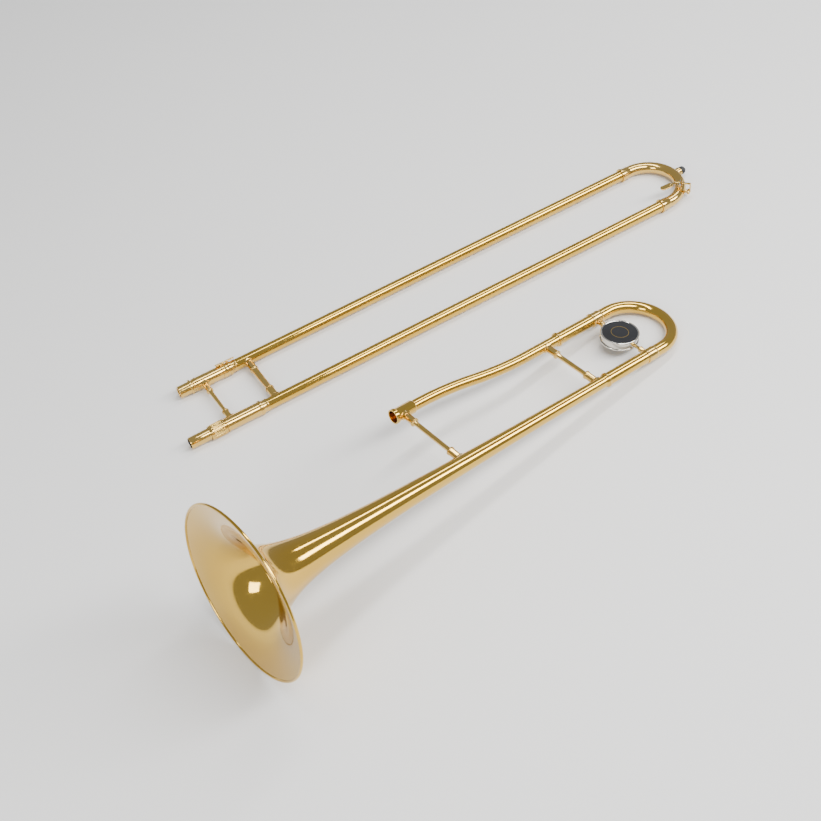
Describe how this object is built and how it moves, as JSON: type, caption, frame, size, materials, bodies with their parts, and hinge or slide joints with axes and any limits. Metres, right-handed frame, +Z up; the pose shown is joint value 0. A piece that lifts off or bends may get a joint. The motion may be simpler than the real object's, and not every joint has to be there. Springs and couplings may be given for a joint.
{
  "type": "tenor slide trombone",
  "caption": "Straight tenor trombone taken apart for its case: a bell section with tuning slide and counterweight, and a hand slide with water key and slide lock.",
  "frame": {"origin": "middle of the footprint, on the surface that both sections lie on", "axes": "+X from the bell's mouth towards the tuning bow, +Y from the bell section towards the hand slide, +Z up"},
  "size_m": [0.9086, 0.4854, 0.2012],
  "materials": {
    "lacquered_brass": "clear lacquer over polished yellow brass",
    "fitting_brass": "clear lacquer over polished pale brass",
    "plated_nickel": "bright nickel plate",
    "spring_steel": "drawn wire",
    "black_enamel": "gloss black enamel",
    "black_rubber": "moulded rubber",
    "cork": "cut natural cork"
  },
  "bodies": {
    "bell_section": {"bell_flare": "lacquered_brass", "rim_wire": "lacquered_brass", "bell_stem": "lacquered_brass", "neckpipe": "lacquered_brass", "slide_receiver": "lacquered_brass", "front_brace": "fitting_brass", "front_brace_flanges": "fitting_brass", "rear_brace": "fitting_brass", "rear_brace_flanges": "fitting_brass", "tuning_sleeve_bell_side": "lacquered_brass", "tuning_sleeve_neckpipe_side": "lacquered_brass", "tuning_sleeve_rings": "fitting_brass"},
    "tuning_slide": {"tuning_leg_bell_side": "plated_nickel", "tuning_leg_neckpipe_side": "plated_nickel", "tuning_ferrules": "fitting_brass", "tuning_bow": "lacquered_brass", "counterweight_body": "plated_nickel", "counterweight_faces": "black_enamel", "counterweight_rims": "plated_nickel", "counterweight_arms": "fitting_brass"},
    "inner_slide": {"mouthpiece_receiver": "fitting_brass", "receiver_ring": "fitting_brass", "leadpipe": "lacquered_brass", "inner_tube_mouthpiece_side": "plated_nickel", "inner_tube_bell_side": "plated_nickel", "stocking_mouthpiece_side": "plated_nickel", "stocking_bell_side": "plated_nickel", "cork_barrel_mouthpiece_side": "fitting_brass", "cork_barrel_bell_side": "fitting_brass", "barrel_corks": "cork", "inner_brace": "fitting_brass", "inner_brace_flanges": "fitting_brass", "slide_tenon": "fitting_brass"},
    "lock_nut": {"lock_nut": "fitting_brass"},
    "slide_lock": {"slide_lock": "fitting_brass"},
    "outer_slide": {"outer_tube_mouthpiece_side": "lacquered_brass", "outer_tube_bell_side": "lacquered_brass", "outer_end_bands": "fitting_brass", "lock_stud": "fitting_brass", "outer_brace": "fitting_brass", "outer_brace_flanges": "fitting_brass", "bow_ferrules": "fitting_brass", "slide_bow": "fitting_brass", "bumper_socket": "fitting_brass", "bumper_tip": "black_rubber", "water_key_saddle": "fitting_brass", "water_key_nipple": "fitting_brass", "water_key_pin": "spring_steel", "water_key_spring": "spring_steel"},
    "water_key": {"water_key_lever": "fitting_brass", "water_key_cork": "cork"}
  },
  "joints": [
    {"name": "tuning_slide_draw", "type": "slide", "parent": "bell_section", "child": "tuning_slide", "axis": [0.9901, 0, -0.1405], "range_m": [0, 0.04]},
    {"name": "section_lift", "type": "slide", "parent": "bell_section", "child": "inner_slide", "axis": [0, 0, 1], "range_m": [0, 0.3]},
    {"name": "lock_nut_spin", "type": "hinge", "parent": "inner_slide", "child": "lock_nut", "pos_m": [-0.29627, 0.14772, 0.0095], "axis": [0.9893, -0.1461, 0], "continuous": true},
    {"name": "slide_lock_turn", "type": "hinge", "parent": "inner_slide", "child": "slide_lock", "pos_m": [-0.23212, 0.22618, 0.0095], "axis": [0.9893, -0.1461, 0], "range_deg": [0, 45]},
    {"name": "hand_slide", "type": "slide", "parent": "inner_slide", "child": "outer_slide", "axis": [0.9893, -0.1461, 0], "range_m": [0, 0.58]},
    {"name": "water_key_press", "type": "hinge", "parent": "outer_slide", "child": "water_key", "pos_m": [0.41399, 0.05312, 0.0212], "axis": [-0.8517, -0.524, 0], "range_deg": [0, 14], "stiffness_Nm_per_rad": 0.05, "springref_deg": -28.65}
  ]
}
